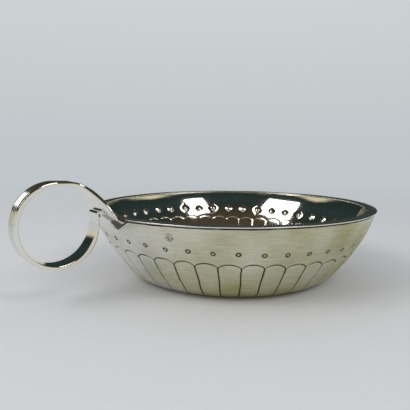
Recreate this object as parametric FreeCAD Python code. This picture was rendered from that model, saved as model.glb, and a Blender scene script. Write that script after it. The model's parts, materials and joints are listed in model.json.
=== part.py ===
"""Silver wine taster: a shallow raised bowl with chased petals and a row of punched
pearls, a flat strip soldered on as its rim, and a reeded strip wound into a finger ring.

The bowl stands on the table plane with its axis on +Z. The handle points along -X.
Every piece is cold worked silver sheet or strip, so walls keep one gauge, and each
piece that meets another is trimmed to its surface and seats on it face to face.
"""
import FreeCAD
import Part
import math
import os
from FreeCAD import Vector

# Driving dimensions, in millimetres and degrees.

# Bowl, raised from one disc of sheet in courses, each a narrow straight band.
overall_height = 22.5
wall_gauge = 1.1
base_flat_diameter = 52.8
foot_radius = 10.0
foot_angle = 50.0
mouth_angle = 79.0
boss_diameter = 22.0
boss_height = 3.0
wall_courses = 9
foot_courses = 4
boss_courses = 5

# Chasing on the bowl: petals round its lower half and a row of pearls above them.
petal_count = 42
petal_cusp_height = 11.1
petal_arch_rise = 1.4
petal_foot_radius = 29.0
petal_phase = 3.3
chased_line_width = 0.4
chased_line_depth = 0.2
pearl_count = 42
pearl_height = 15.2
pearl_phase = 1.9
pearl_pit_diameter = 1.3
pearl_dome_diameter = 2.8
pearl_dome_height = 0.45
chasing_tilt = 1.35
chasing_tilt_direction = 141.0

# Rim, a flat strip soldered on the bowl's edge.
rim_diameter = 90.0
rim_width = 3.0
rim_thickness = 0.5
rim_lip = 0.55
rim_edge_chamfer = 0.12
rim_seam = 0.45
rim_seam_gauge = 0.1

# Finger ring, a reeded strip wound into a loop.
finger_hole_diameter = 19.6
strip_thickness = 1.3
strip_width = 5.8
ring_reach = 58.5
ring_centre_height = 20.85
reed_count = 4
reed_depth = 0.3
ring_free_end = 80.0
tip_roll_diameter = 1.7

# Root of the strip, hammered out wide and laid on the bowl under the rim.
shoulder_radius = 8.0
descent_angle = 64.0
root_width = 18.0
root_gauge = 0.8
flare_start = 0.3
flare_end = 0.95
tongue_width = 24.0
tongue_shoulder = 17.0
tongue_drop = 4.7
landing_clearance = 0.25
root_station_count = 15
bend_station_count = 5
root_seam = 0.35

# Values that follow from the driving dimensions.
rim_radius = rim_diameter / 2
mouth_radius = rim_radius - rim_lip
rim_underside = overall_height - rim_thickness
wall_top = rim_underside - rim_seam_gauge
hole_radius = finger_hole_diameter / 2
strip_middle = hole_radius + strip_thickness / 2
AXIS = Vector(0, 0, 1)
ORIGIN = Vector(0, 0, 0)


def slope(angle):
    """Unit vector in the XZ plane that climbs at an angle from +X."""
    turn = math.radians(angle)
    return Vector(math.cos(turn), 0, math.sin(turn))


def bezier(*poles):
    curve = Part.BezierCurve()
    curve.setPoles(list(poles))
    return curve


def revolve_about_axis(outline, span=360):
    """Solid turned about +Z from the corners of its half section."""
    closed = Part.makePolygon(outline + outline[:1])
    return Part.Face(closed).revolve(ORIGIN, AXIS, span)


# Bowl wall. The outer surface is a foot arc that rises from the flat base and a long
# easy curve up to the mouth. The inner surface lies one gauge inside it.


def foot_arc(inset):
    """Arc from the base flat to where the wall leaves the foot."""
    centre = Vector(base_flat_diameter / 2, 0, foot_radius)
    radius = foot_radius - inset
    start = centre - AXIS * radius
    middle = centre + slope(foot_angle / 2 - 90) * radius
    end = centre + slope(foot_angle - 90) * radius
    return Part.Arc(start, middle, end), end


def wall_curve(inset):
    """Curve from the end of the foot to the mouth, tangent to both slopes."""
    start = foot_arc(inset)[1]
    steep = math.sin(math.radians(mouth_angle))
    end = Vector(mouth_radius - inset / steep, 0, wall_top)
    reach = start.distanceToPoint(end)
    leave = start + slope(foot_angle) * (0.38 * reach)
    arrive = end - slope(mouth_angle) * (0.29 * reach)
    return bezier(start, leave, arrive, end)


def boss_curve(lift):
    """Half section of the domed boss, from the axis out to the base flat."""
    edge = boss_diameter / 2
    top = boss_height + lift
    crown = Vector(0, 0, top)
    crown_pole = Vector(0.5 * edge, 0, top)
    skirt_pole = Vector(0.6 * edge, 0, lift)
    skirt = Vector(edge, 0, lift)
    return bezier(crown, crown_pole, skirt_pole, skirt)


def line(a, b):
    return Part.LineSegment(a, b).toShape()


def courses(curve, count):
    """Points that part a curve into straight bands."""
    return curve.toShape().discretize(Number=count + 1)


def half_section(inset):
    """One face of the sheet, from the axis to the mouth."""
    boss = courses(boss_curve(inset), boss_courses)
    foot = courses(foot_arc(inset)[0], foot_courses)
    wall = courses(wall_curve(inset), wall_courses)
    return boss + foot + wall[1:]


def make_bowl():
    under = half_section(0)
    inside = half_section(wall_gauge)
    return revolve_about_axis(under + inside[::-1])


def wall_share(height, inset=0):
    """How far along the wall's curve a height lies, from 0 at the foot to 1."""
    curve = wall_curve(inset)
    low, high = 0.0, 1.0
    for _ in range(40):
        middle = (low + high) / 2
        if curve.value(middle).z < height:
            low = middle
        else:
            high = middle
    return low


def wall_point(height, inset=0):
    return wall_curve(inset).value(wall_share(height, inset))


def wall_slope(height):
    """Angle of the wall from level at a height."""
    heading = wall_curve(0).tangent(wall_share(height))[0]
    return math.degrees(math.atan2(heading.z, heading.x))


# Chasing. Each tool is drawn flat, its face on +Z and the way up the wall on +X, and
# is then set on the wall with +Z along the wall's normal.


def row_height(level, angle):
    """Height of a chased row at an angle round the bowl: the rows run slightly askew."""
    return level + chasing_tilt * math.cos(math.radians(angle - chasing_tilt_direction))


def on_wall(tool, height, angle, inset=0):
    """Sets a tool on the wall, at a height and an angle round the bowl."""
    lean = wall_slope(height)
    turn = FreeCAD.Rotation(slope(lean), ORIGIN, slope(lean - 90), "ZXY")
    held = Part.makeCompound([tool])
    held.Placement = FreeCAD.Placement(wall_point(height, inset), turn)
    held.rotate(ORIGIN, AXIS, angle)
    return held


def petal_line_tool():
    """Blade whose edge follows the wall at the line's depth, from foot to mouth."""
    clear = -1.0
    edges = [foot_arc(chased_line_depth)[0], wall_curve(chased_line_depth)]
    skins = [foot_arc(clear)[0], wall_curve(clear)]
    edges = [curve.toShape() for curve in edges]
    skins = [curve.toShape() for curve in skins]
    bottom = line(edges[0].firstVertex().Point, skins[0].firstVertex().Point)
    top = line(edges[1].lastVertex().Point, skins[1].lastVertex().Point)
    face = Part.Face(Part.Wire(Part.sortEdges(edges + [top] + skins + [bottom])[0]))
    face.translate(Vector(0, -chased_line_width / 2, 0))
    return face.extrude(Vector(0, chased_line_width, 0))


def petal_line(blade, angle):
    """Groove between two petals, from its cusp down to the foot."""
    top = row_height(petal_cusp_height, angle)
    reach = mouth_radius - petal_foot_radius + wall_gauge
    room = Part.makeBox(
        reach,
        2 * chased_line_width,
        top + wall_gauge,
        Vector(petal_foot_radius, -chased_line_width, -wall_gauge),
    )
    groove = blade.common(room)
    groove.rotate(ORIGIN, AXIS, angle)
    return groove


def petal_arch(angle):
    """V groove over a petal, in an arc from one cusp to the next."""
    pitch = math.radians(360 / petal_count)
    height = row_height(petal_cusp_height, angle)
    half_chord = wall_point(height).x * math.sin(pitch / 2)
    radius = (half_chord**2 + petal_arch_rise**2) / (2 * petal_arch_rise)
    span = 2 * math.degrees(math.asin(half_chord / radius))
    edge = Vector(radius, 0, -chased_line_depth)
    near = Vector(radius - chased_line_width, 0, chased_line_depth)
    far = Vector(radius + chased_line_width, 0, chased_line_depth)
    arc = revolve_about_axis([edge, near, far], span)
    arc.rotate(ORIGIN, AXIS, -span / 2)
    arc.translate(Vector(petal_arch_rise - radius, 0, 0))
    return on_wall(arc, height, angle)


def pearl_pit(angle):
    """Pit that the pearl punch leaves on the outside."""
    height = row_height(pearl_height, angle)
    sunk = Vector(0, 0, -chased_line_depth)
    pit = Part.makeCylinder(pearl_pit_diameter / 2, 2 * chased_line_depth, sunk)
    return on_wall(pit, height, angle)


def pearl_dome(angle):
    """Dome that the punch raises on the inside."""
    height = row_height(pearl_height, angle)
    half = pearl_dome_diameter / 2
    radius = (half**2 + pearl_dome_height**2) / (2 * pearl_dome_height)
    ball = Part.makeSphere(radius, Vector(0, 0, radius - pearl_dome_height))
    root = wall_gauge / 4
    reach = root + 2 * pearl_dome_height
    post = Part.makeCylinder(half, reach, Vector(0, 0, -2 * pearl_dome_height))
    return on_wall(ball.common(post), height, angle, wall_gauge)


def chase(bowl):
    """The bowl with its petals and pearls."""
    blade = petal_line_tool()
    cuts = []
    for i in range(petal_count):
        angle = petal_phase + i * 360 / petal_count
        cuts.append(petal_line(blade, angle))
        cuts.append(petal_arch(angle + 180 / petal_count))
    domes = []
    for i in range(pearl_count):
        angle = pearl_phase + i * 360 / pearl_count
        cuts.append(pearl_pit(angle))
        domes.append(pearl_dome(angle))
    return bowl.fuse(domes).cut(cuts)


# Rim strip and the solder between it and the wall.


def make_rim():
    outer = Part.makeCylinder(rim_radius, rim_thickness, Vector(0, 0, rim_underside))
    inner = Part.makeCylinder(
        rim_radius - rim_width, rim_thickness, Vector(0, 0, rim_underside)
    )
    strip = outer.cut(inner)
    corners = [e for e in strip.Edges if isinstance(e.Curve, Part.Circle)]
    return strip.makeChamfer(rim_edge_chamfer, corners)


def make_rim_seam():
    """Solder under the rim: a thin layer on the wall's edge with a fillet each side."""

    def side(inset, away):
        below, end = courses(wall_curve(inset), wall_courses)[-2:]
        low = end + (below - end) * (rim_seam / (end.z - below.z))
        return end + Vector(away * rim_seam, 0, rim_seam_gauge), low, end

    return revolve_about_axis([*side(0, 1), *reversed(side(wall_gauge, -1))])


# Handle. Its strip is drawn in the plane through the bowl's axis: out is the distance
# from that axis towards the handle, and lean is the turn of its section from upright.


def strip_wire(out, height, lean, width, thickness, reed, wrap):
    """Closed section: reeds on the outer face, plain sides and a plain inner face.

    Wrap bends the section round the bowl, as the root is bent.
    """
    turn = math.radians(lean)
    middle = Vector(-out, 0, height)
    upright = Vector(math.sin(turn), 0, math.cos(turn))

    def at(lift, across, product=None):
        square = across * across if product is None else product
        bend = wrap * square / rim_diameter
        return middle + upright * (lift + bend) + Vector(0, across, 0)

    half = width / 2
    pitch = width / reed_count
    top = thickness / 2
    groove = top - reed
    edges = []
    for i in range(reed_count):
        a = -half + i * pitch
        b = a + pitch
        crown = at(top + reed, (a + b) / 2, a * b)
        edges.append(bezier(at(groove, a), crown, at(groove, b)).toShape())
    edges.append(line(at(groove, half), at(-top, half)))
    if wrap:
        belly = at(-top, 0, -half * half)
        edges.append(bezier(at(-top, half), belly, at(-top, -half)).toShape())
    else:
        edges.append(line(at(-top, half), at(-top, -half)))
    edges.append(line(at(-top, -half), at(groove, -half)))
    return Part.Wire(edges)


def make_ring():
    """The loop itself, from its top round to the free end beside the bowl."""
    section = strip_wire(
        ring_reach,
        ring_centre_height + strip_middle,
        0,
        strip_width,
        strip_thickness,
        reed_depth / 2,
        0,
    )
    centre = Vector(-ring_reach, 0, ring_centre_height)
    loop = Part.Face(section).revolve(centre, Vector(0, 1, 0), ring_free_end - 360)
    turn = math.radians(ring_free_end)
    out_from_centre = hole_radius + tip_roll_diameter / 2
    tip = centre + Vector(math.sin(turn), 0, math.cos(turn)) * out_from_centre
    roll = Part.makeCylinder(
        tip_roll_diameter / 2,
        strip_width,
        tip - Vector(0, strip_width / 2, 0),
        Vector(0, 1, 0),
    )
    return loop.fuse(roll)


def root_stations():
    """Middle line of the root, as out, height, lean and share of the way to the rim:
    a short run, the shoulder's arc, a straight fall that lands beside the rim, and a
    bend on to the wall."""
    top = ring_centre_height + strip_middle
    turn = math.radians(descent_angle)
    landing = rim_radius + strip_thickness / 2 / math.sin(turn) + landing_clearance
    arc_end_height = top - shoulder_radius * (1 - math.cos(turn))
    fall = (arc_end_height - overall_height) / math.sin(turn)
    arc_end_out = landing + fall * math.cos(turn)
    arc_start_out = arc_end_out + shoulder_radius * math.sin(turn)
    run = ring_reach - arc_start_out
    arc_length = shoulder_radius * turn
    length = run + arc_length + fall
    foot_height = overall_height - 1.5 * tongue_drop
    foot = Vector(wall_point(foot_height).x + root_gauge / 4, 0, foot_height)
    start = Vector(landing, 0, overall_height)
    reach = start.distanceToPoint(foot)
    foot_lean = wall_slope(foot_height)
    bend = bezier(
        start,
        start - slope(descent_angle) * (0.4 * reach),
        foot + slope(foot_lean) * (0.4 * reach),
        foot,
    )
    stations = []
    for i in range(root_station_count):
        way = length * i / (root_station_count - 1)
        if way <= run:
            place = (ring_reach - way, top, 0)
        elif way <= run + arc_length:
            a = (way - run) / shoulder_radius
            out = arc_start_out - shoulder_radius * math.sin(a)
            height = top - shoulder_radius * (1 - math.cos(a))
            place = (out, height, math.degrees(a))
        else:
            left = length - way
            out = landing + left * math.cos(turn)
            height = overall_height + left * math.sin(turn)
            place = (out, height, descent_angle)
        stations.append(place + (way / length,))
    for i in range(1, bend_station_count + 1):
        share = i / bend_station_count
        point = bend.value(share)
        heading = bend.tangent(share)[0]
        lean = math.degrees(math.atan2(-heading.z, -heading.x))
        stations.append((point.x, point.z, lean, 1))
    return stations


def eased(share):
    """Eases from 0 to 1."""
    share = min(max(share, 0.0), 1.0)
    return share * share * (3 - 2 * share)


def make_root():
    """Flare of the strip from the ring's top, over the rim and on to the wall."""
    wires = []
    for out, height, lean, share in root_stations():
        spread = eased((share - flare_start) / (flare_end - flare_start))
        width = strip_width + (root_width - strip_width) * spread
        thickness = strip_thickness + (root_gauge - strip_thickness) * share**2
        reed = reed_depth / 2 * (1 - 0.6 * share)
        wires.append(strip_wire(out, height, lean, width, thickness, reed, spread))
    return Part.makeLoft(wires, True, False)


def tongue_outline(grow):
    """Block over all that stays of the root: everything above the rim's underside,
    and below it only the tongue, a rounded lobe that runs out to the wing tips."""
    half = tongue_width / 2 + grow
    shoulder = tongue_shoulder / 2 + grow
    lobe = 0.65 * shoulder
    level = rim_underside
    low = overall_height - tongue_drop - grow
    deep = -ring_reach
    points = [
        Vector(deep, half, level),
        Vector(deep, shoulder, level - 0.6),
        Vector(deep, lobe, low),
        Vector(deep, 0, low),
    ]
    mirrored = [Vector(p.x, -p.y, p.z) for p in points]
    top = Vector(0, 0, 3 * finger_hole_diameter)
    edges = [
        bezier(*points).toShape(),
        bezier(*reversed(mirrored)).toShape(),
        line(mirrored[0], mirrored[0] + top),
        line(mirrored[0] + top, points[0] + top),
        line(points[0] + top, points[0]),
    ]
    face = Part.Face(Part.Wire(edges))
    return face.extrude(Vector(ring_reach, 0, 0))


def wall_skin(gauge):
    """Shell of one gauge on the outside of the wall."""
    wall = courses(wall_curve(0), wall_courses)
    skin = courses(wall_curve(-gauge), wall_courses)
    return revolve_about_axis(wall + skin[::-1])


def make_handle(bowl, rim, seam):
    outline = tongue_outline(0)
    root = make_root().common(outline)
    tongue = wall_skin(root_gauge).common(outline)
    handle = make_ring().fuse([root, tongue])
    handle = handle.cut(bowl.fuse([rim, seam]))
    solids = sorted(handle.Solids, key=lambda s: s.Volume)
    return solids[-1]


def make_root_seam(handle, rim, rim_solder):
    """Bead of solder that shows round the tongue's edge."""
    bead = wall_skin(root_seam).common(tongue_outline(root_seam))
    return bead.cut([rim, rim_solder, handle])


def export(shape, name):
    shape = shape.removeSplitter()
    shape.exportStep(os.path.join("parts", name + ".step"))
    box = shape.BoundBox
    print(
        f"{name}: {len(shape.Solids)} solid, valid {shape.isValid()}, "
        f"volume {shape.Volume:.1f}, x {box.XMin:.2f} {box.XMax:.2f}, "
        f"y {box.YMin:.2f} {box.YMax:.2f}, z {box.ZMin:.2f} {box.ZMax:.2f}"
    )


def main():
    os.makedirs("parts", exist_ok=True)
    plain_bowl = make_bowl()
    bowl = chase(plain_bowl)
    rim = make_rim()
    rim_solder = make_rim_seam()
    handle = make_handle(plain_bowl, rim, rim_solder)
    root_solder = make_root_seam(handle, rim, rim_solder)
    export(bowl, "bowl")
    export(rim, "rim_strip")
    export(rim_solder, "rim_solder")
    export(handle, "ring_handle")
    export(root_solder, "root_solder")


main()
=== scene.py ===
# %% [markdown]
# # Dressing a silver wine taster
#
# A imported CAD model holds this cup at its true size. In this lesson each of its pieces
# gets a finer mesh and a silver that looks raised, chased and worn by hand. Nothing is
# moved or resized: every measure below is read from the frame or written in millimetres.

# %% Load the frame
import json
import math

import bpy
from mathutils import Matrix, Vector, noise


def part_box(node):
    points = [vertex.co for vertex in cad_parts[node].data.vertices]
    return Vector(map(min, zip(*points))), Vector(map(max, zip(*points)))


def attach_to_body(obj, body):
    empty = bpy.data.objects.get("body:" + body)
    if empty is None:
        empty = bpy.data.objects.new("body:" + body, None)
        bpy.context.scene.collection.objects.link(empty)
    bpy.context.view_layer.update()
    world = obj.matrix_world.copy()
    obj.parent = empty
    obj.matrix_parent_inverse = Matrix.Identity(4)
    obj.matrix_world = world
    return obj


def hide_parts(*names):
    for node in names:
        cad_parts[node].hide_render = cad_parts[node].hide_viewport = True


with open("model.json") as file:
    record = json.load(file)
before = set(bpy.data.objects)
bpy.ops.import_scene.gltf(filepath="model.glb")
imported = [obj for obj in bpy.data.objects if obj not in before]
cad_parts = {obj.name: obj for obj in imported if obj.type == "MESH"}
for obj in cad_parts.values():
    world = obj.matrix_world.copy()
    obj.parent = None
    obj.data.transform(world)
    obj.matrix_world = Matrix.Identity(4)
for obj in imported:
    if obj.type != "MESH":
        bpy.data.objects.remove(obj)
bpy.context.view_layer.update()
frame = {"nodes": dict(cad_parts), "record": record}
mm = 0.001
print("CAD nodes:", sorted(frame["nodes"]))

# %% [markdown]
# ## Measures
#
# The frame already knows where the rim, the wall and the finger ring are, so those are
# read from it. The rest are the measures of the real cup that the frame does not name.

# %% Measures read from the frame
rim_low, rim_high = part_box("rim_strip")
bowl_low, bowl_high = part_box("bowl")
finger_ring = next(m for m in frame["record"]["mounts"] if m["name"] == "finger_ring")
rim_radius = rim_high.x
rim_top = rim_high.z
rim_underside = rim_low.z
mouth_radius = bowl_high.x
wall_top = bowl_high.z
ring_reach = -finger_ring["pos_m"][0]
ring_height = finger_ring["pos_m"][2]
hole_radius = finger_ring["dims"]["r_mm"] * mm
print("rim radius", rim_radius, "ring hole", hole_radius)

# %% Measures of the bowl
wall_gauge = 1.1 * mm
base_flat = 26.4 * mm
foot_radius = 10.0 * mm
foot_angle = math.radians(50)
mouth_angle = math.radians(79)
boss_radius = 11.0 * mm
boss_height = 3.0 * mm
petal_count = 42
petal_pitch = math.tau / petal_count
cusp_height = 11.1 * mm
pearl_height = 15.2 * mm
arch_rise = 1.4 * mm
cusp_phase = math.radians(3.3)
pearl_shift = math.radians(-1.4)
row_tilt = 1.35 * mm
row_tilt_direction = math.radians(141)

# %% [markdown]
# ## Small helpers
#
# Blender's operators act on whatever is selected. Two helpers keep that in hand: one
# selects a single piece, the other runs a modifier and applies it at once.


# %% Helpers
def alone(piece):
    """Selects one piece and makes it the active one."""
    bpy.ops.object.select_all(action="DESELECT")
    piece.select_set(True)
    bpy.context.view_layer.objects.active = piece


def modified(piece, kind, **settings):
    """Adds a modifier to a piece, sets it and applies it."""
    alone(piece)
    bpy.ops.object.modifier_add(type=kind)
    modifier = piece.modifiers[-1]
    for name, value in settings.items():
        setattr(modifier, name, value)
    bpy.ops.object.modifier_apply(modifier=modifier.name)


def edit(piece, *steps):
    """Runs mesh operators on the whole of a piece in edit mode."""
    alone(piece)
    bpy.ops.object.mode_set(mode="EDIT")
    bpy.ops.mesh.select_all(action="SELECT")
    for operator, settings in steps:
        operator(**settings)
    bpy.ops.object.mode_set(mode="OBJECT")


def choose(piece, wanted):
    """Selects the vertices of a piece whose place passes a test, and no others."""
    edit(piece, (bpy.ops.mesh.select_all, {"action": "DESELECT"}))
    for vertex in piece.data.vertices:
        vertex.select = wanted(vertex.co)


def smooth(share):
    """Eases from 0 to 1."""
    share = min(max(share, 0.0), 1.0)
    return share * share * (3 - 2 * share)


def hump(share):
    """A soft bump: 1 in the middle, 0 from a share of 1 outwards."""
    share = min(abs(share), 1.0)
    return (1 - share * share) ** 2


# %% [markdown]
# ## The bowl's outline
#
# A silversmith raises the bowl from a flat disc, so its section is one line of even
# gauge: mouth, wall, foot, base and the boss that is pushed up in the middle. The wall
# is a Bezier curve, the foot an arc. The outline is walked from the mouth to the axis,
# and a place on the bowl is then a length down that walk and an angle round the axis.


# %% The outline as a walk
def bezier(poles, share):
    a, b, c, d = poles
    rest = 1 - share
    return a * rest**3 + b * (3 * share * rest**2) + c * (3 * share**2 * rest) + d * share**3


def outline(inset):
    """Points of the half section from the mouth to the axis, at an inset from outside."""
    centre = Vector((base_flat, foot_radius))
    turn = Vector((math.sin(foot_angle), -math.cos(foot_angle)))
    knee = centre + turn * (foot_radius - inset)
    rise = Vector((math.cos(foot_angle), math.sin(foot_angle)))
    mouth = Vector((mouth_radius - inset / math.sin(mouth_angle), wall_top))
    steep = Vector((math.cos(mouth_angle), math.sin(mouth_angle)))
    reach = (mouth - knee).length
    wall = (mouth, mouth - steep * (0.29 * reach), knee + rise * (0.38 * reach), knee)
    points = [bezier(wall, i / 80) for i in range(81)]
    for i in range(1, 31):
        angle = foot_angle * (1 - i / 30)
        spoke = Vector((math.sin(angle), -math.cos(angle)))
        points.append(centre + spoke * (foot_radius - inset))
    skirt = Vector((boss_radius, inset))
    crown = Vector((0, boss_height + inset))
    dome = (
        skirt,
        Vector((0.6 * boss_radius, inset)),
        Vector((0.5 * boss_radius, crown.y)),
        crown,
    )
    points += [bezier(dome, i / 30) for i in range(31)]
    return points


class Walk:
    """A half section that can be asked for the point and the normal at a length."""

    def __init__(self, points):
        self.points = points
        self.lengths = [0.0]
        for a, b in zip(points, points[1:]):
            self.lengths.append(self.lengths[-1] + (b - a).length)

    def at(self, length):
        length = min(max(length, 0.0), self.lengths[-1])
        i = 1
        while self.lengths[i] < length and i < len(self.lengths) - 1:
            i += 1
        a, b = self.points[i - 1], self.points[i]
        span = self.lengths[i] - self.lengths[i - 1]
        point = a.lerp(b, (length - self.lengths[i - 1]) / span)
        along = (b - a).normalized()
        return point, Vector((-along.y, along.x))

    def length_at_height(self, height):
        return next(s for s, p in zip(self.lengths, self.points) if p.y <= height)


outside = Walk(outline(0))
inside = Walk(outline(wall_gauge))
pearl_row = outside.length_at_height(pearl_height)
cusp_row = outside.length_at_height(cusp_height)
knee_row = outside.lengths[80]
foot_row = outside.lengths[110]
boss_row = outside.lengths[111]
axis_row = outside.lengths[-1]
print("rows down the wall, mm:", [round(x / mm, 2) for x in (pearl_row, cusp_row, foot_row)])

# %% [markdown]
# ## One petal, drawn flat
#
# Every petal has the same chased line and the same pearl over it, so one is drawn and
# the rest are copies. A grid is the start. Its columns crowd to the petal's edges and
# its rows to the arch and the pearls, because that is where the tool marks will need
# vertices. An array then makes the whole girdle of 42, still flat.


# %% Rows and columns of one petal
def both_sides(centre, offsets):
    return sorted({centre + o * mm for o in offsets} | {centre - o * mm for o in offsets})


def evenly(start, end, count):
    return [start + (end - start) * i / count for i in range(1, count)]


half_pitch = 2.965 * mm
edge_offsets = (0, 0.1, 0.2, 0.32, 0.46, 0.62, 0.85, 1.3, 2.0)
left = [-0.5 + 0.5 * o * mm / half_pitch for o in edge_offsets]
columns = left + [0.0] + [-x for x in reversed(left)]
pearl_rows = both_sides(pearl_row, (0, 0.13, 0.26, 0.39, 0.52, 0.66, 0.85, 1.25, 1.7))
arch_rows = both_sides(cusp_row, (0, 0.1, 0.2, 0.32, 0.5))
rows = (
    [0.0]
    + evenly(0.0, pearl_rows[0], 4)
    + pearl_rows
    + evenly(pearl_rows[-1], arch_rows[0], 3)
    + arch_rows
    + evenly(arch_rows[-1], knee_row, 8)
    + [knee_row]
    + evenly(knee_row, foot_row, 8)
    + [foot_row]
    + evenly(foot_row, boss_row, 4)
    + [boss_row]
    + evenly(boss_row, axis_row, 8)
    + [axis_row]
)


def flat_girdle(name):
    """Grid of one petal with its own columns and rows, repeated for every petal."""
    bpy.ops.mesh.primitive_grid_add(
        x_subdivisions=len(columns) - 1, y_subdivisions=len(rows) - 1, size=1
    )
    piece = bpy.context.object
    piece.name = name
    for vertex in piece.data.vertices:
        column = round((vertex.co.x + 0.5) * (len(columns) - 1))
        row = round((0.5 - vertex.co.y) * (len(rows) - 1))
        vertex.co = (columns[column], rows[row], 0)
    modified(
        piece,
        "ARRAY",
        count=petal_count,
        relative_offset_displace=(1, 0, 0),
        use_merge_vertices=True,
        merge_threshold=0.0001,
    )
    return piece


bowl = flat_girdle("raised_bowl")
print("petal grid:", len(columns), "columns,", len(rows), "rows")

# %% [markdown]
# ## Bending the girdle on to the bowl
#
# Hand work is never even. The rows of chasing on this cup run slightly askew, each
# petal differs a little, and the planished sheet is gently uneven, which is what makes
# a mirror finish shimmer. So while the flat girdle is bent round the bowl, its rows
# are tilted and its places are nudged by a smooth noise.

# %% Where a flat vertex lands
arch_radius = (half_pitch**2 + arch_rise**2) / (2 * arch_rise)
arch_top = cusp_row - arch_rise


def arch_shift(across):
    """How far the arch stands above the cusps, at a share of the petal's width."""
    x = across * 2 * half_pitch
    return math.sqrt(arch_radius**2 - x * x) - (arch_radius - arch_rise)


def row_shift(length, across, angle):
    """The rows near the arch follow it, and the chased rows are askew."""
    rising = smooth((length - pearl_rows[-1]) / (arch_rows[0] - pearl_rows[-1]))
    falling = 1 - smooth((length - arch_rows[-1]) / (4.5 * mm))
    shift = -arch_shift(across) * min(rising, falling)
    askew = smooth(length / (5 * mm)) * (1 - smooth((length - cusp_row) / (17 * mm)))
    return shift - askew * row_tilt * math.cos(angle - row_tilt_direction)


def nudge(angle, length, seed, size, reach):
    """Smooth noise round the bowl, in the units of size."""
    around = Vector((math.cos(angle), math.sin(angle), 0)) * 38 * mm
    around.z = length
    return noise.noise(around / reach + Vector((seed, 0, 0))) * size


def marks(across, length, shift):
    """Depths of the chased line and of the pearl ring, each from 0 to 1."""
    to_edge = (0.5 - abs(across)) * 2 * half_pitch
    to_arch = abs(length - cusp_row)
    below = smooth((length - cusp_row + 0.3 * mm) / (0.3 * mm))
    fade = 1 - smooth((length - foot_row + 4 * mm) / (4 * mm))
    line = max(hump(to_edge / (0.38 * mm)) * below * fade, hump(to_arch / (0.36 * mm)))
    pearl = math.hypot(to_edge, length - pearl_row)
    ring = hump((pearl - 0.5 * mm) / (0.34 * mm))
    return line, ring, pearl


def bend(piece, walk, facing):
    """Sets a flat girdle on one side of the sheet; facing is 1 outside, -1 inside."""
    # Two colour attributes: the first holds the patina of the chased lines and pearls and painted
    # shade near the foot; the second holds a patchy tarnish bloom and painted shade on one side and
    # low on the wall.
    tarnish = piece.data.attributes.new("tarnish", "FLOAT", "POINT")
    bloom_and_shade = piece.data.attributes.new("bloom_and_shade", "FLOAT", "POINT")
    worked, bloomed_and_shaded = [], []
    for vertex in piece.data.vertices:
        place, length = vertex.co.x, vertex.co.y
        across = place - round(place)
        angle = (place + 0.5) * petal_pitch + cusp_phase
        line, ring, pearl = marks(across, length, 0)
        to_pearls = 1 - smooth((length - pearl_row - 1 * mm) / (2 * mm))
        walked = length + row_shift(length, across, angle)
        chased = smooth(length / (3 * mm)) * (1 - smooth((length - foot_row) / (6 * mm)))
        walked += chased * nudge(angle, length, 3.1, 0.3 * mm, 5 * mm)
        turned = angle + pearl_shift * to_pearls
        turned += chased * nudge(angle, length, 7.7, 0.3 * mm, 5 * mm) / (40 * mm)
        if facing > 0:
            pressure = 1 + nudge(angle, length, 4.4, 0.6, 2.5 * mm)
            lift = -0.24 * mm * line * pressure - 0.18 * mm * ring
            pillow = hump(2 * across) * smooth((length - cusp_row) / (1.5 * mm))
            lift += 0.07 * mm * pillow * (1 - smooth((length - knee_row) / (8 * mm)))
            eye = 0.35 * hump(pearl / (0.5 * mm))
            # Painted shade: the outer wall darkens towards the foot, for the shade under the bowl.
            foot_shade = 0.5 * (1 - smooth((foot_row + 2 * mm - length) / (9 * mm)))
            worked.append(max(line, ring, eye, foot_shade))
            # Painted shade: the stain is laid on heavier on the side round -95 degrees and low on the
            # wall, for a dark reflection; only the patchy noise is real tarnish.
            shaded_side = smooth((math.cos(angle + math.radians(95)) - 0.3) / 0.6)
            lower_shade = smooth((length - cusp_row) / (8 * mm))
            patchy = nudge(angle, length, 5.5, 0.35, 11 * mm)
            bloomed_and_shaded.append(0.52 * shaded_side + 0.16 * lower_shade + patchy)
        else:
            wide_line = marks(across * 0.5 + math.copysign(0.25, across), length, 0)[0]
            lift = 0.5 * mm * hump(pearl / (1.6 * mm)) + 0.12 * mm * wide_line
            worked.append(0.0)
            bloomed_and_shaded.append(0.0)
        share = min(walked / axis_row, 1.0)
        point, normal = walk.at(share * walk.lengths[-1])
        free = smooth(length / (2 * mm)) * (1 - smooth((length - foot_row) / (8 * mm)))
        uneven = nudge(angle, length, 1.3, 0.05 * mm, 9 * mm) * free
        point = point + normal * (facing * lift + uneven)
        radius = max(point.x, 0.0)
        vertex.co = (radius * math.cos(turned), radius * math.sin(turned), point.y)
    tarnish.data.foreach_set("value", worked)
    bloom_and_shade.data.foreach_set("value", bloomed_and_shaded)


# %% Bend both faces and join them at the mouth
alone(bowl)
bpy.ops.object.duplicate()
lining = bpy.context.object
bend(bowl, outside, 1)
bend(lining, inside, -1)
edit(lining, (bpy.ops.mesh.flip_normals, {}))
bowl.select_set(True)
bpy.context.view_layer.objects.active = bowl
outer_faces = len(bowl.data.polygons)
bpy.ops.object.join()
for i, face in enumerate(bowl.data.polygons):
    face.material_index = 0 if i < outer_faces else 1
edit(bowl, (bpy.ops.mesh.remove_doubles, {"threshold": 0.004 * mm}))
choose(bowl, lambda place: place.z > wall_top - 0.01 * mm)
bpy.ops.object.mode_set(mode="EDIT")
bpy.ops.mesh.bridge_edge_loops()
bpy.ops.object.mode_set(mode="OBJECT")
print("bowl:", len(bowl.data.polygons), "faces")

# %% [markdown]
# ## The rim
#
# The rim is a flat strip, bent edgeways into a hoop and soldered on the wall's edge.
# A circle is extruded inwards for its top, extruded down for its gauge and bevelled,
# since years of polishing have rounded its corners. A little unevenness in height and
# width keeps its highlight from looking turned on a lathe.

# %% Make the rim
rim_width = 3.0 * mm
rim_segments = 336


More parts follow.
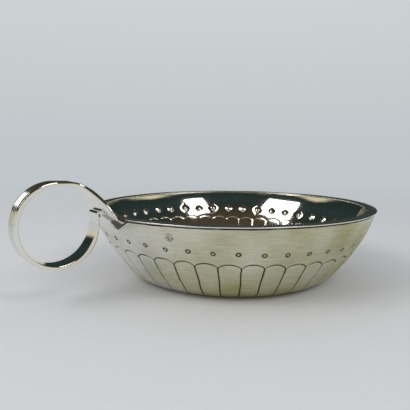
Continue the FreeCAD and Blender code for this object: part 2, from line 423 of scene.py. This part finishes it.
def uneven(piece, seed, upright, sideways, reach):
    """Nudges a piece's vertices up and outwards by smooth noise."""
    for vertex in piece.data.vertices:
        place = vertex.co / reach + Vector((seed, 0, 0))
        away = Vector((vertex.co.x, vertex.co.y, 0)).normalized()
        vertex.co.z += noise.noise(place) * upright
        vertex.co += away * noise.noise(place + Vector((0, 0, 9))) * sideways


bpy.ops.mesh.primitive_circle_add(
    vertices=rim_segments, radius=rim_radius, location=(0, 0, rim_top)
)
rim = bpy.context.object
rim.name = "rim_hoop"
inner_scale = (rim_radius - rim_width) / rim_radius
edit(
    rim,
    (bpy.ops.mesh.extrude_edges_move, {}),
    (bpy.ops.transform.resize, {"value": (inner_scale, inner_scale, 1)}),
)
alone(rim)
bpy.ops.object.transform_apply(location=True, rotation=True, scale=True)
modified(rim, "SOLIDIFY", thickness=0.34 * mm, offset=-1)
edit(rim, (bpy.ops.mesh.normals_make_consistent, {}))
modified(rim, "BEVEL", width=0.1 * mm, segments=3, limit_method="ANGLE")
uneven(rim, 2.0, 0.05 * mm, 0.05 * mm, 12 * mm)
print("rim:", len(rim.data.polygons), "faces")

# %% [markdown]
# ## The solder under the rim
#
# Seen from the side, the joint under the rim is a thin dark thread, uneven because the
# solder ran by itself. A torus is the start, and it is then made ragged.

# %% Make the rim's seam
# The seam's near-black colour is the solder's tarnish together with painted shade under the rim's
# lip.
bpy.ops.mesh.primitive_torus_add(
    major_radius=mouth_radius - 0.05 * mm,
    minor_radius=0.3 * mm,
    major_segments=504,
    minor_segments=10,
    location=(0, 0, wall_top + 0.08 * mm),
)
rim_seam = bpy.context.object
rim_seam.name = "rim_seam"
alone(rim_seam)
bpy.ops.object.transform_apply(location=True, rotation=True, scale=True)
uneven(rim_seam, 5.0, 0.12 * mm, 0.16 * mm, 2.5 * mm)

# %% [markdown]
# ## The handle
#
# One strip makes the handle: wound into the finger ring, led over a shoulder down to
# the rim, hammered out wide and laid on the wall as a tongue. Its section has four
# reeds outside and soft edges. A Curve with a bevel object could not widen it without
# thickening it, so the section is drawn once as a circle's worth of vertices and then
# extruded from station to station along the strip's middle line.

# %% The strip's section
reed_count = 4
reed_points = 7
side_points = 5
plain_points = 12
reed_depth = 0.45 * mm
section_size = reed_count * reed_points + 1 + side_points * 2 + plain_points
strip_width = 5.8 * mm
strip_thickness = 1.3 * mm
strip_middle = hole_radius + strip_thickness / 2


def section(width, thickness, reed, spread):
    """Points (across, lift, dirt) of the section, the reeds on the lifted side."""
    half, top, points = width / 2, thickness / 2, []
    soft = min(0.5 * thickness, 0.3 * mm)
    thinned = 0.4 * mm * spread
    for i in range(reed_count * reed_points + 1):
        share = i / (reed_count * reed_points)
        across = -half + soft * 0.6 + (width - 1.2 * soft) * share
        crown = abs(math.sin(math.pi * share * reed_count))
        to_edge = min(share, 1 - share)
        deep = reed if to_edge > 0.12 else 0.3 * reed
        fall = thinned * (1 - min(to_edge * width / (2 * mm), 1)) ** 2
        dirt = (1 - crown) ** 0.7 * deep / reed_depth
        points.append((across, top - deep * (1 - crown**0.9) - fall, dirt))
    side_top = top - 0.3 * reed - thinned
    middle, tall = (side_top - top) / 2, (side_top + top) / 2
    for i in range(side_points):
        angle = math.pi / 2 - math.pi * (i + 0.5) / side_points
        across = half - soft + soft * math.cos(angle) ** 0.5
        points.append((across, middle + tall * math.sin(angle), 0.0))
    for i in range(plain_points):
        share = (i + 0.5) / plain_points
        across = half - soft * 0.6 - (width - 1.2 * soft) * share
        points.append((across, -top - 0.05 * mm * math.sin(math.pi * share), 0.0))
    for i in range(side_points):
        angle = -math.pi / 2 + math.pi * (i + 0.5) / side_points
        across = -half + soft - soft * math.cos(angle) ** 0.5
        points.append((across, middle + tall * math.sin(angle), 0.0))
    return points


# %% [markdown]
# ### The strip's middle line
#
# The line lies in the plane through the cup's axis and the ring. From the tongue's low
# end it climbs the wall, leaves it at the rim, goes over the shoulder, and winds round
# the finger hole until it meets itself again beside the rim.

# %% Stations along the strip
descent = math.radians(64)
shoulder_radius = 8.0 * mm
root_width = 18.0 * mm
root_gauge = 0.8 * mm
tongue_drop = 4.7 * mm
tongue_depth = 4.2 * mm
free_end = math.radians(78)
ring_stretch = 0.4 * mm


def tongue_half(drop):
    """Half width of the tongue at a depth under the rim: a rounded lobe."""
    if drop < 0:
        return root_width / 2 + 3 * mm * smooth(1 + drop / (0.5 * mm))
    poles = [Vector(p) * mm for p in ((12, 0), (8.5, 0.6), (5.5, 4.2), (0, 4.2))]
    share = 0.0
    while share < 1 and bezier(poles, share).y < drop:
        share += 0.01
    return bezier(poles, share).x


def stations():
    """(out, height, lean, width, thickness, reed, wrap) from the tongue to the free end."""
    top = ring_height + strip_middle
    landing = rim_radius + strip_thickness / 2 / math.sin(descent) + 0.25 * mm
    arc_end = Vector((0, top - shoulder_radius * (1 - math.cos(descent))))
    fall = (arc_end.y - rim_top) / math.sin(descent)
    arc_end.x = landing + fall * math.cos(descent)
    arc_start = arc_end.x + shoulder_radius * math.sin(descent)
    run, turn = ring_reach - arc_start, shoulder_radius * descent
    whole = run + turn + fall
    foot_height = rim_top - 1.5 * tongue_drop
    foot, _ = outside.at(outside.length_at_height(foot_height))
    foot.x += root_gauge / 4
    above, _ = outside.at(outside.length_at_height(foot_height + 0.5 * mm))
    up = (above - foot).normalized()
    start = Vector((landing, rim_top))
    reach = (start - foot).length
    fell = Vector((math.cos(descent), math.sin(descent)))
    poles = (foot, foot + up * (0.4 * reach), start - fell * (0.4 * reach), start)
    found = []
    for i in range(40):
        share = i / 40
        point, ahead = bezier(poles, share), bezier(poles, share + 0.01)
        drop = rim_underside - point.y
        if drop < tongue_depth - 0.02 * mm:
            half = max(tongue_half(drop), 0.4 * mm)
            lean = math.atan2(ahead.y - point.y, ahead.x - point.x)
            found.append((point.x, point.y, lean, 2 * half, root_gauge, 0.0, 1.0))
    steps = 40
    for i in range(steps):
        way = whole * (1 - i / steps)
        if way <= run:
            place = (ring_reach - way, top, 0.0)
        elif way <= run + turn:
            angle = (way - run) / shoulder_radius
            out = arc_start - shoulder_radius * math.sin(angle)
            place = (out, top - shoulder_radius * (1 - math.cos(angle)), angle)
        else:
            rest = whole - way
            out = landing + rest * math.cos(descent)
            place = (out, rim_top + rest * math.sin(descent), descent)
        share = way / whole
        spread = smooth((share - 0.3) / 0.65)
        width = strip_width + (root_width - strip_width) * spread
        thickness = strip_thickness + (root_gauge - strip_thickness) * share**2
        lift = ring_stretch * (1 - share) ** 2
        place = (place[0], place[1] + lift, place[2])
        found.append((*place, width, thickness, reed_depth * (1 - 0.9 * share), spread))
    turns = 96
    for i in range(turns + 1):
        angle = (math.tau - free_end) * i / turns
        out = ring_reach + strip_middle * math.sin(angle)
        height = ring_height + (strip_middle + ring_stretch) * math.cos(angle)
        thin = 0.55 * mm * smooth((i - 82) / 14)
        out += thin / 2 * math.sin(angle)
        found.append(
            (out, height, -angle, strip_width, strip_thickness - thin, reed_depth, 0.0)
        )
    return found + tip_roll(found[-1])


def tip_roll(last):
    """The free end, thinned and rolled back on itself, away from the finger."""
    out, height, lean, width, thickness, reed, wrap = last
    away = Vector((math.sin(-lean), math.cos(lean)))
    rolled = 0.5 * mm
    centre = Vector((out, height)) + away * rolled
    found = []
    for i in range(1, 15):
        turn = math.radians(20 * i)
        spoke = Matrix.Rotation(turn, 2) @ -away
        place = centre + spoke * rolled * (1 - i * 0.01)
        found.append((place.x, place.y, lean + turn, width, thickness, 0.0, 0.0))
    return found


def set_section(vertices, station):
    """Moves one loop of vertices to its station on the strip, and gives the dirt of its reed grooves
    and the painted shade of its dents.
    """
    out, height, lean, width, thickness, reed, wrap = station
    upright = Vector((math.sin(lean), math.cos(lean)))
    loop, found = section(width, thickness, reed, wrap), []
    for vertex, (across, lift, dirt) in zip(vertices, loop):
        reach = out - upright.x * lift
        z = height + upright.y * lift
        wound = Vector((-reach * math.cos(across / reach), reach * math.sin(across / reach)))
        straight = Vector((-reach, across))
        place = straight.lerp(wound, wrap)
        # A shallow dent on each wing of the handle's wide root, also darkened as painted shade.
        hollow_and_shade = hump((abs(across) - 7.7 * mm) / (3.6 * mm)) * wrap
        hollow_and_shade *= hump((z - 20.6 * mm) / (2.2 * mm))
        vertex.co = (place.x + 0.25 * mm * hollow_and_shade, place.y, z - 0.1 * mm * hollow_and_shade)
        found.append(max(dirt, min(2.5 * hollow_and_shade, 1.0)))
    return found


# %% Extrude the section along the strip
bpy.ops.mesh.primitive_circle_add(vertices=section_size, radius=strip_width)
handle = bpy.context.object
handle.name = "reeded_handle"
strip_stations = stations()
alone(handle)
for _ in strip_stations[1:]:
    bpy.ops.object.mode_set(mode="EDIT")
    bpy.ops.mesh.extrude_edges_move()
    bpy.ops.object.mode_set(mode="OBJECT")
worked = []
for i, station in enumerate(strip_stations):
    loop = handle.data.vertices[i * section_size : (i + 1) * section_size]
    worked += set_section(loop, station)
edit(
    handle,
    (bpy.ops.mesh.select_all, {"action": "DESELECT"}),
    (bpy.ops.mesh.select_non_manifold, {}),
    (bpy.ops.mesh.fill_holes, {"sides": 0}),
    (bpy.ops.mesh.select_all, {"action": "SELECT"}),
    (bpy.ops.mesh.normals_make_consistent, {}),
)
# This attribute holds the patina in the reed grooves and the painted shade in the root's dents.
tarnish = handle.data.attributes.new("tarnish", "FLOAT", "POINT")
tarnish.data.foreach_set("value", worked)
print("handle:", len(strip_stations), "stations,", len(handle.data.polygons), "faces")

# %% [markdown]
# ## The bead round the handle's root
#
# The tongue was soldered to the wall, and a thin bead shows round its edge. The bead is
# a curve that follows the tongue's outline on the wall, given a round section, made a
# mesh and then made uneven.


# %% Make the root's bead
def wall_place(across, height, lift):
    """A point on the wall beside the handle's plane, at a height above the table."""
    point, normal = outside.at(outside.length_at_height(height))
    point = point + normal * lift
    angle = across / point.x
    return Vector((-point.x * math.cos(angle), point.x * math.sin(angle), point.y))


def root_outline():
    """Places round the tongue, from one wing's tip to the other."""
    depths = [tongue_depth * (i + 0.5) / 9 for i in range(9)]
    side = [(tongue_half(d) + 0.15 * mm, rim_underside - d) for d in depths]
    low = [(0.0, rim_underside - tongue_depth - 0.15 * mm)]
    right = [(-across, height) for across, height in reversed(side)]
    return [wall_place(across, height, 0.05 * mm) for across, height in side + low + right]


bpy.ops.curve.primitive_nurbs_path_add()
bead = bpy.context.object
bead.name = "root_bead"
bead.data.splines.clear()
spline = bead.data.splines.new("NURBS")
places = root_outline()
spline.points.add(len(places) - 1)
for point, place in zip(spline.points, places):
    point.co = (*place, 1)
spline.order_u = 3
spline.use_endpoint_u = True
bead.data.bevel_depth = 0.2 * mm
bead.data.bevel_resolution = 3
bead.data.use_fill_caps = True
bead.location = (0, 0, 0)
alone(bead)
bpy.ops.object.convert(target="MESH")
bead = bpy.context.object
uneven(bead, 8.0, 0.08 * mm, 0.06 * mm, 1.5 * mm)

# %% [markdown]
# ## A struck mark and a small pit
#
# Silver of this kind carries a small round mark struck into the wall near the handle.
# It is left generic here: a shallow disc with a rim and a plain hammered field. A small
# circle is filled, inset, and laid on the wall, and the same is done for a pit.


# %% Lay a small disc on the wall
def disc(name, angle, height, radius, relief):
    """A small disc on the wall: relief is the lift of its rim above its field."""
    bpy.ops.mesh.primitive_circle_add(vertices=28, radius=radius, fill_type="NGON")
    piece = bpy.context.object
    piece.name = name
    inset = (bpy.ops.mesh.inset, {"thickness": 0.13 * radius, "use_even_offset": True})
    edit(piece, *([inset] * 7), (bpy.ops.mesh.poke, {}))
    tarnish = piece.data.attributes.new("tarnish", "FLOAT", "POINT")
    worked = []
    for vertex in piece.data.vertices:
        share = vertex.co.length / radius
        grain = noise.noise(vertex.co / (0.3 * mm))
        lift = relief * hump((share - 0.82) / 0.2) - 0.5 * relief * (share < 0.7)
        lift += 0.35 * abs(relief) * grain * (share < 0.75)
        point, normal = outside.at(outside.length_at_height(height + vertex.co.y))
        point = point + normal * (0.03 * mm * (1 - share**6) + lift)
        around = angle + vertex.co.x / point.x
        worked.append(min(max(0.62 - hump((share - 0.82) / 0.16) * 0.3 + grain, 0), 1))
        vertex.co = (point.x * math.cos(around), point.x * math.sin(around), point.y)
    tarnish.data.foreach_set("value", worked)
    return piece


mark = disc("struck_mark", math.radians(-149.8), 19 * mm, 1.2 * mm, 0.07 * mm)
pit = disc("wall_pit", math.radians(-75), 19 * mm, 0.35 * mm, -0.03 * mm)

# %% [markdown]
# ## Silver, in one group
#
# All the silver here shares three effects: a cloudy tarnish, fine scratches from a
# polishing cloth, and a slightly wavy surface. They are built once as a shader group
# with named inputs. Each material then sets its own amounts and keeps its own shader.


# %% Node helpers
def node(tree, kind, **inputs):
    """Adds a node and sets its inputs, from values or from other sockets."""
    made = tree.nodes.new(kind)
    for name, value in inputs.items():
        socket = made.inputs[name.replace("_", " ")]
        if isinstance(value, bpy.types.NodeSocket):
            tree.links.new(value, socket)
        else:
            socket.default_value = value
    return made


def maths(tree, operation, a, b=0.0, clamp=False):
    """A Math node: its result socket."""
    made = tree.nodes.new("ShaderNodeMath")
    made.operation = operation
    made.use_clamp = clamp
    for socket, value in zip(made.inputs, (a, b)):
        if isinstance(value, bpy.types.NodeSocket):
            tree.links.new(value, socket)
        else:
            socket.default_value = value
    return made.outputs[0]


def blend_colours(tree, share, a, b):
    """A Mix node for colours: its result socket."""
    made = tree.nodes.new("ShaderNodeMix")
    made.data_type = "RGBA"
    sockets = (made.inputs[0], made.inputs[6], made.inputs[7])
    for socket, value in zip(sockets, (share, a, b)):
        if isinstance(value, bpy.types.NodeSocket):
            tree.links.new(value, socket)
        else:
            socket.default_value = value
    return made.outputs[2]


def noise_at(tree, vector, scale, detail=3.0, stretch=(1, 1, 1)):
    """Noise on Object coordinates, stretched along an axis if asked: its value socket."""
    mapping = node(tree, "ShaderNodeMapping", Vector=vector)
    mapping.inputs["Scale"].default_value = stretch
    made = node(
        tree, "ShaderNodeTexNoise", Vector=mapping.outputs[0], Scale=scale, Detail=detail
    )
    return made.outputs["Fac"]


# %% Build the group
def silver_group():
    tree = bpy.data.node_groups.new("worn silver", "ShaderNodeTree")
    floats = (
        ("Roughness", 0.2),
        ("Roughness spread", 0.1),
        ("Tarnish", 0.3),
        ("Patina and shade", 0.0),
        ("Bloom and shade", 0.0),
        ("Scratches", 0.1),
    )
    for name, value in floats:
        socket = tree.interface.new_socket(name, in_out="INPUT", socket_type="NodeSocketFloat")
        socket.default_value = value
    for name in ("Silver", "Stain and shade", "Dirt and shade"):
        tree.interface.new_socket(name, in_out="INPUT", socket_type="NodeSocketColor")
    tree.interface.new_socket("Colour", in_out="OUTPUT", socket_type="NodeSocketColor")
    tree.interface.new_socket("Roughness", in_out="OUTPUT", socket_type="NodeSocketFloat")
    tree.interface.new_socket("Height", in_out="OUTPUT", socket_type="NodeSocketFloat")
    given = tree.nodes.new("NodeGroupInput").outputs
    result = tree.nodes.new("NodeGroupOutput").inputs
    place = tree.nodes.new("ShaderNodeTexCoord").outputs["Object"]
    cloud = noise_at(tree, place, 110, 4)
    speckle = noise_at(tree, place, 900, 2)
    streak = noise_at(tree, place, 260, 5, (1, 1, 9))
    cross = noise_at(tree, place, 700, 2, (1, 5, 2))
    clouds = maths(tree, "MULTIPLY", maths(tree, "SUBTRACT", cloud, 0.38), 3.0, clamp=True)
    streaky = maths(tree, "MULTIPLY", maths(tree, "SUBTRACT", streak, 0.5), 0.6)
    # Cloudy tarnish and the mesh's bloom blend the silver towards the stain colour; the bloom is
    # partly painted shade on one side and low on the wall.
    stained = maths(tree, "MULTIPLY", clouds, given["Tarnish"])
    stained = maths(tree, "ADD", stained, maths(tree, "ADD", given["Bloom and shade"], streaky), True)
    silver = blend_colours(tree, stained, given["Silver"], given["Stain and shade"])
    # Patina in chased lines and grooves, and painted shade at the bowl's foot and the handle's root,
    # blend the colour towards the dirt colour.
    ragged = maths(tree, "ADD", given["Patina and shade"], maths(tree, "SUBTRACT", speckle, 0.5))
    ragged = maths(tree, "MULTIPLY", ragged, given["Patina and shade"], clamp=True)
    ragged = maths(tree, "MULTIPLY", ragged, 1.6, clamp=True)
    tree.links.new(blend_colours(tree, ragged, silver, given["Dirt and shade"]), result["Colour"])
    uneven_gloss = maths(tree, "ADD", maths(tree, "SUBTRACT", streak, 0.5), stained)
    rough = maths(tree, "MULTIPLY", uneven_gloss, given["Roughness spread"])
    rough = maths(tree, "ADD", rough, given["Roughness"])
    rough = maths(tree, "ADD", rough, maths(tree, "MULTIPLY", ragged, 0.3), clamp=True)
    tree.links.new(rough, result["Roughness"])
    lines = maths(tree, "ADD", streak, maths(tree, "MULTIPLY", cross, 0.6))
    tree.links.new(maths(tree, "MULTIPLY", lines, given["Scratches"]), result["Height"])
    return tree


worn_silver = silver_group()

# %% [markdown]
# ## One material for each finish
#
# The outside of the bowl is satin and a little yellow, the inside and the handle are
# polished, and the solder is dull and dark, its tarnish together with painted shade
# under the rim's lip. The stain and dirt colours also paint shade where the meshes'
# attributes ask for it. Polished silver takes nearly all its look from what it
# reflects, so its own colour is close to white and its roughness is low.


# %% Make the silvers
def silver(name, roughness, spread, tarnish, scratches, base, stain, dirt):
    material = bpy.data.materials.new(name)
    material.use_nodes = True
    tree = material.node_tree
    shader = tree.nodes["Principled BSDF"]
    shader.inputs["Metallic"].default_value = 1.0
    worked = tree.nodes.new("ShaderNodeAttribute")
    worked.attribute_name = "tarnish"
    bloomed_and_shaded = tree.nodes.new("ShaderNodeAttribute")
    bloomed_and_shaded.attribute_name = "bloom_and_shade"
    group = tree.nodes.new("ShaderNodeGroup")
    group.node_tree = worn_silver
    settings = {
        "Roughness": roughness,
        "Roughness spread": spread,
        "Tarnish": tarnish,
        "Scratches": scratches,
        "Silver": (*base, 1),
        "Stain and shade": (*stain, 1),
        "Dirt and shade": (*dirt, 1),
    }
    for key, value in settings.items():
        group.inputs[key].default_value = value
    # The mesh attributes bring patina and tarnish bloom, and painted shade with them.
    tree.links.new(worked.outputs["Fac"], group.inputs["Patina and shade"])
    tree.links.new(bloomed_and_shaded.outputs["Fac"], group.inputs["Bloom and shade"])
    bump = node(tree, "ShaderNodeBump", Strength=1.0, Distance=0.02 * mm)
    tree.links.new(group.outputs["Height"], bump.inputs["Height"])
    tree.links.new(group.outputs["Colour"], shader.inputs["Base Color"])
    tree.links.new(group.outputs["Roughness"], shader.inputs["Roughness"])
    tree.links.new(bump.outputs["Normal"], shader.inputs["Normal"])
    return material


# The satin's stain colour also paints shade on one side and low on the wall, and its dirt colour
# paints shade towards the foot.
satin = silver(
    "satin_silver", 0.34, 0.14, 0.22, 1.0,
    (0.84, 0.84, 0.78), (0.44, 0.41, 0.16), (0.06, 0.048, 0.03),
)
# The polished silver's dirt colour also paints shade in the dents of the handle's root.
polish = silver(
    "polished_silver", 0.07, 0.05, 0.15, 0.25,
    (0.90, 0.89, 0.84), (0.78, 0.76, 0.68), (0.10, 0.08, 0.05),
)
rim_silver = silver(
    "rim_silver", 0.22, 0.12, 0.2, 0.8,
    (0.90, 0.90, 0.88), (0.70, 0.69, 0.60), (0.10, 0.08, 0.05),
)
# Near-black solder: its tarnish together with painted shade under the rim's lip.
solder = silver(
    "silver_solder", 0.5, 0.2, 1.0, 1.0,
    (0.10, 0.085, 0.06), (0.03, 0.025, 0.02), (0.03, 0.025, 0.02),
)

# %% [markdown]
# ## Fit the pieces to the frame
#
# Each new piece rides on the cup's one body and stands for its CAD node, which is
# hidden. Smooth shading comes with it.


# %% Dress and attach
def attach(piece, cad_node, slot, *materials):
    for material in materials:
        piece.data.materials.append(material)
    alone(piece)
    bpy.ops.object.shade_smooth_by_angle(angle=math.radians(50))
    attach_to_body(piece, "root")
    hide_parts(cad_node)


attach(bowl, "bowl", "satin_silver", satin, polish)
attach(rim, "rim_strip", "polished_silver", rim_silver)
attach(rim_seam, "rim_solder", "silver_solder", solder)
attach(handle, "ring_handle", "polished_silver", polish)
attach(bead, "root_solder", "silver_solder", rim_silver)
for piece in (mark, pit):
    piece.data.materials.append(satin)
    alone(piece)
    bpy.ops.object.shade_smooth()
    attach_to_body(piece, "root")

# %% [markdown]
# ## Floor and light
#
# Silver shows its surroundings, so the studio matters as much as the metal. The floor
# is plain and pale, and far off it fades into an even glow of the world's own colour.
# The world is pale low down and dark overhead, with two bright windows behind the
# camera, as a table photograph by a window has them.

# %% Floor
backdrop = (0.525, 0.57, 0.59, 1)
bpy.ops.mesh.primitive_plane_add(size=12)
floor = bpy.context.object
floor.name = "floor"
paper = bpy.data.materials.new("pale_paper")
paper.use_nodes = True
sheet = paper.node_tree
paper_shader = sheet.nodes["Principled BSDF"]
paper_shader.inputs["Base Color"].default_value = (0.745, 0.745, 0.78, 1)
paper_shader.inputs["Roughness"].default_value = 0.8
spot = sheet.nodes.new("ShaderNodeTexCoord").outputs["Object"]
away = node(sheet, "ShaderNodeVectorMath", Vector=spot)
away.operation = "LENGTH"
far = node(sheet, "ShaderNodeMapRange", Value=away.outputs["Value"])
far.interpolation_type = "SMOOTHSTEP"
far.inputs["From Min"].default_value = 0.06
far.inputs["From Max"].default_value = 0.42
glow = node(sheet, "ShaderNodeEmission", Color=backdrop)
merge = node(sheet, "ShaderNodeMixShader", Fac=far.outputs[0])
sheet.links.new(paper_shader.outputs[0], merge.inputs[1])
sheet.links.new(glow.outputs[0], merge.inputs[2])
sheet.links.new(merge.outputs[0], sheet.nodes["Material Output"].inputs["Surface"])
floor.data.materials.append(paper)

# %% World
world = bpy.data.worlds.new("studio")
bpy.context.scene.world = world
world.use_nodes = True
sky = world.node_tree
background = sky.nodes["Background"]
rays = sky.nodes.new("ShaderNodeLightPath")
heading = sky.nodes.new("ShaderNodeTexCoord").outputs["Generated"]
split = node(sky, "ShaderNodeSeparateXYZ", Vector=heading)
front = node(sky, "ShaderNodeVectorMath", Vector=heading)
front.operation = "DOT_PRODUCT"
front.inputs[1].default_value = (math.cos(math.radians(231)), math.sin(math.radians(231)), 0)
behind = maths(sky, "MULTIPLY", maths(sky, "MINIMUM", front.outputs["Value"], 0.0), 0.31)
height = maths(sky, "SUBTRACT", split.outputs["Z"], behind)
wobble = noise_at(sky, heading, 3.0, 2)
height = maths(sky, "ADD", height, maths(sky, "MULTIPLY", maths(sky, "SUBTRACT", wobble, 0.5), 0.06))
ramp = node(sky, "ShaderNodeValToRGB", Fac=height)
stops = ramp.color_ramp.elements
stops[0].position = 0.0
stops[0].color = (0.60, 0.58, 0.48, 1)
stops[1].position = 0.9
stops[1].color = (0.06, 0.05, 0.035, 1)
for place, colour in (
    (0.285, (0.66, 0.60, 0.42, 1)),
    (0.325, (0.014, 0.024, 0.02, 1)),
    (0.50, (0.022, 0.038, 0.037, 1)),
    (0.66, (0.02, 0.03, 0.028, 1)),
    (0.80, (0.06, 0.042, 0.022, 1)),
):
    stops.new(place).color = colour
pale = maths(sky, "MULTIPLY", maths(sky, "ADD", front.outputs["Value"], 0.1), -2.5, True)
low = maths(sky, "MULTIPLY", maths(sky, "SUBTRACT", 0.3, height), 12.0, True)
shine = blend_colours(
    sky, maths(sky, "MULTIPLY", pale, low), ramp.outputs["Color"], backdrop
)
fill = (0.54, 0.56, 0.56, 1)
top = (0.62, 0.66, 0.665, 1)
rising = maths(sky, "MULTIPLY", split.outputs["Z"], 3.2, True)
seen = blend_colours(sky, rising, backdrop, top)
plain = blend_colours(sky, rays.outputs["Is Camera Ray"], fill, seen)
seen = blend_colours(sky, rays.outputs["Is Glossy Ray"], plain, shine)
sky.links.new(seen, background.inputs["Color"])

# %% Lights


def window(name, azimuth, height, width, tall, power):
    """A bright window at an azimuth and an elevation, facing the cup."""
    around, above, reach = math.radians(azimuth), math.radians(height), 0.7
    level = Vector((math.cos(around), math.sin(around), 0)) * math.cos(above)
    place = (level + Vector((0, 0, math.sin(above)))) * reach
    bpy.ops.object.light_add(type="AREA", location=place)
    lamp = bpy.context.object
    lamp.name = name
    lamp.data.shape = "RECTANGLE"
    lamp.data.size = width
    lamp.data.size_y = tall
    lamp.data.energy = power
    lamp.data.color = (1, 0.99, 0.95)
    lamp.rotation_euler = (-place).to_track_quat("-Z", "Y").to_euler()


window("right window", 275, 42, 0.23, 0.27, 0.8)
window("left window", 173, 42, 0.38, 0.32, 1.35)

# %% [markdown]
# ## Camera
#
# The camera stands low, a little above the rim and quite near, so the rim is a thin
# ellipse and the near side of the bowl looms.

# %% Place the camera
camera_angle = math.radians(231)
camera_distance = 153.0 * mm
yaw = math.radians(-3.36)
pitch = math.radians(-7.24)
roll = math.radians(0.25)
camera_height = rim_top + 18.95 * mm
bpy.ops.object.camera_add(
    location=(
        camera_distance * math.cos(camera_angle),
        camera_distance * math.sin(camera_angle),
        camera_height,
    )
)
camera = bpy.context.object
camera.data.sensor_width = 36
camera.data.lens = 36 * 466 / 410
camera.data.clip_start = 0.01
look = Vector((math.sin(yaw) * math.cos(pitch), math.cos(yaw) * math.cos(pitch), math.sin(pitch)))
right = Vector((math.cos(yaw), -math.sin(yaw), 0))
up = right.cross(look)
right, up = right * math.cos(roll) + up * math.sin(roll), up * math.cos(roll) - right * math.sin(roll)
axes = Matrix((right, up, -look)).transposed()
turn = Matrix.Rotation(camera_angle + math.pi / 2, 3, "Z")
camera.rotation_euler = (turn @ axes).to_euler()
bpy.context.scene.camera = camera
bpy.context.scene.view_settings.view_transform = "Standard"
